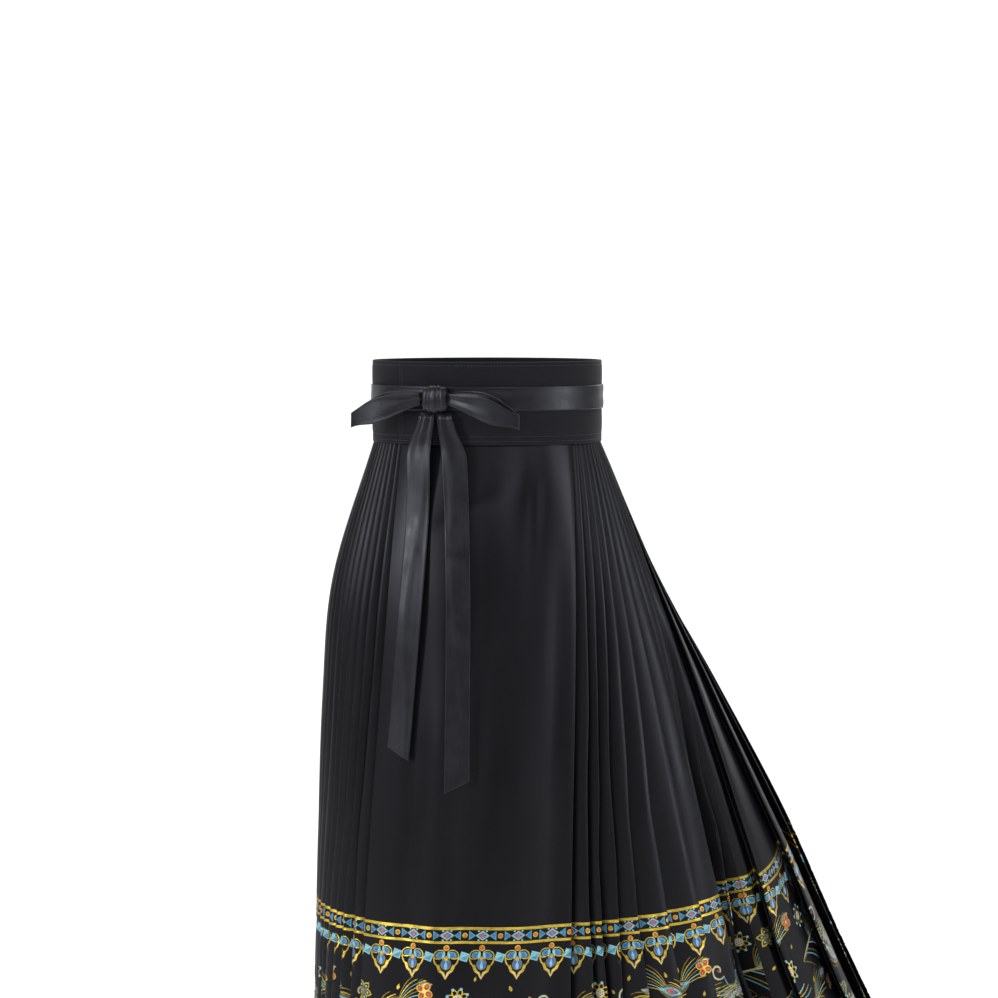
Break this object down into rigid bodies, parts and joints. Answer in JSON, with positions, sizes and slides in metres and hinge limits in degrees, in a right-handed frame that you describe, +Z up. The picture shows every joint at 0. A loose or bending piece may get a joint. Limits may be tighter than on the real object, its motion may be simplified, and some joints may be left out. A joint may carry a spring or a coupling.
{
  "type": "horse-face skirt worn open and hollow, wrapped with flat front and back panels and pleated sides",
  "caption": "Long wrapped skirt with flat overlapping front and back panels, knife-pleated sides, a waistband and a tied bow, hanging as worn.",
  "frame": {"origin": "the middle of the waist, level with the middle of the waistband's height, where the wearer's waist holds the skirt", "axes": "+Z up, +X to the wearer's left, -Y towards the front of the wearer"},
  "size_m": [0.7157, 0.654, 0.9973],
  "materials": {
    "satin": "black satin woven with a gold, blue and teal border",
    "band": "matte plain black weave",
    "tie": "soft black satin ribbon"
  },
  "bodies": {
    "root": {"face_front_over": "satin", "pleats_left_front": "satin", "pleats_left_back": "satin", "pleats_left_side": "satin", "face_back_under": "satin", "face_back_over": "satin", "pleats_right_back": "satin", "pleats_right_front": "satin", "face_front_under": "satin", "waistband": "band", "tie_wrap": "tie", "tie_knot": "tie", "tie_loop_right": "tie", "tie_loop_left": "tie", "tie_tail_right": "tie", "tie_tail_left": "tie"}
  },
  "joints": []
}
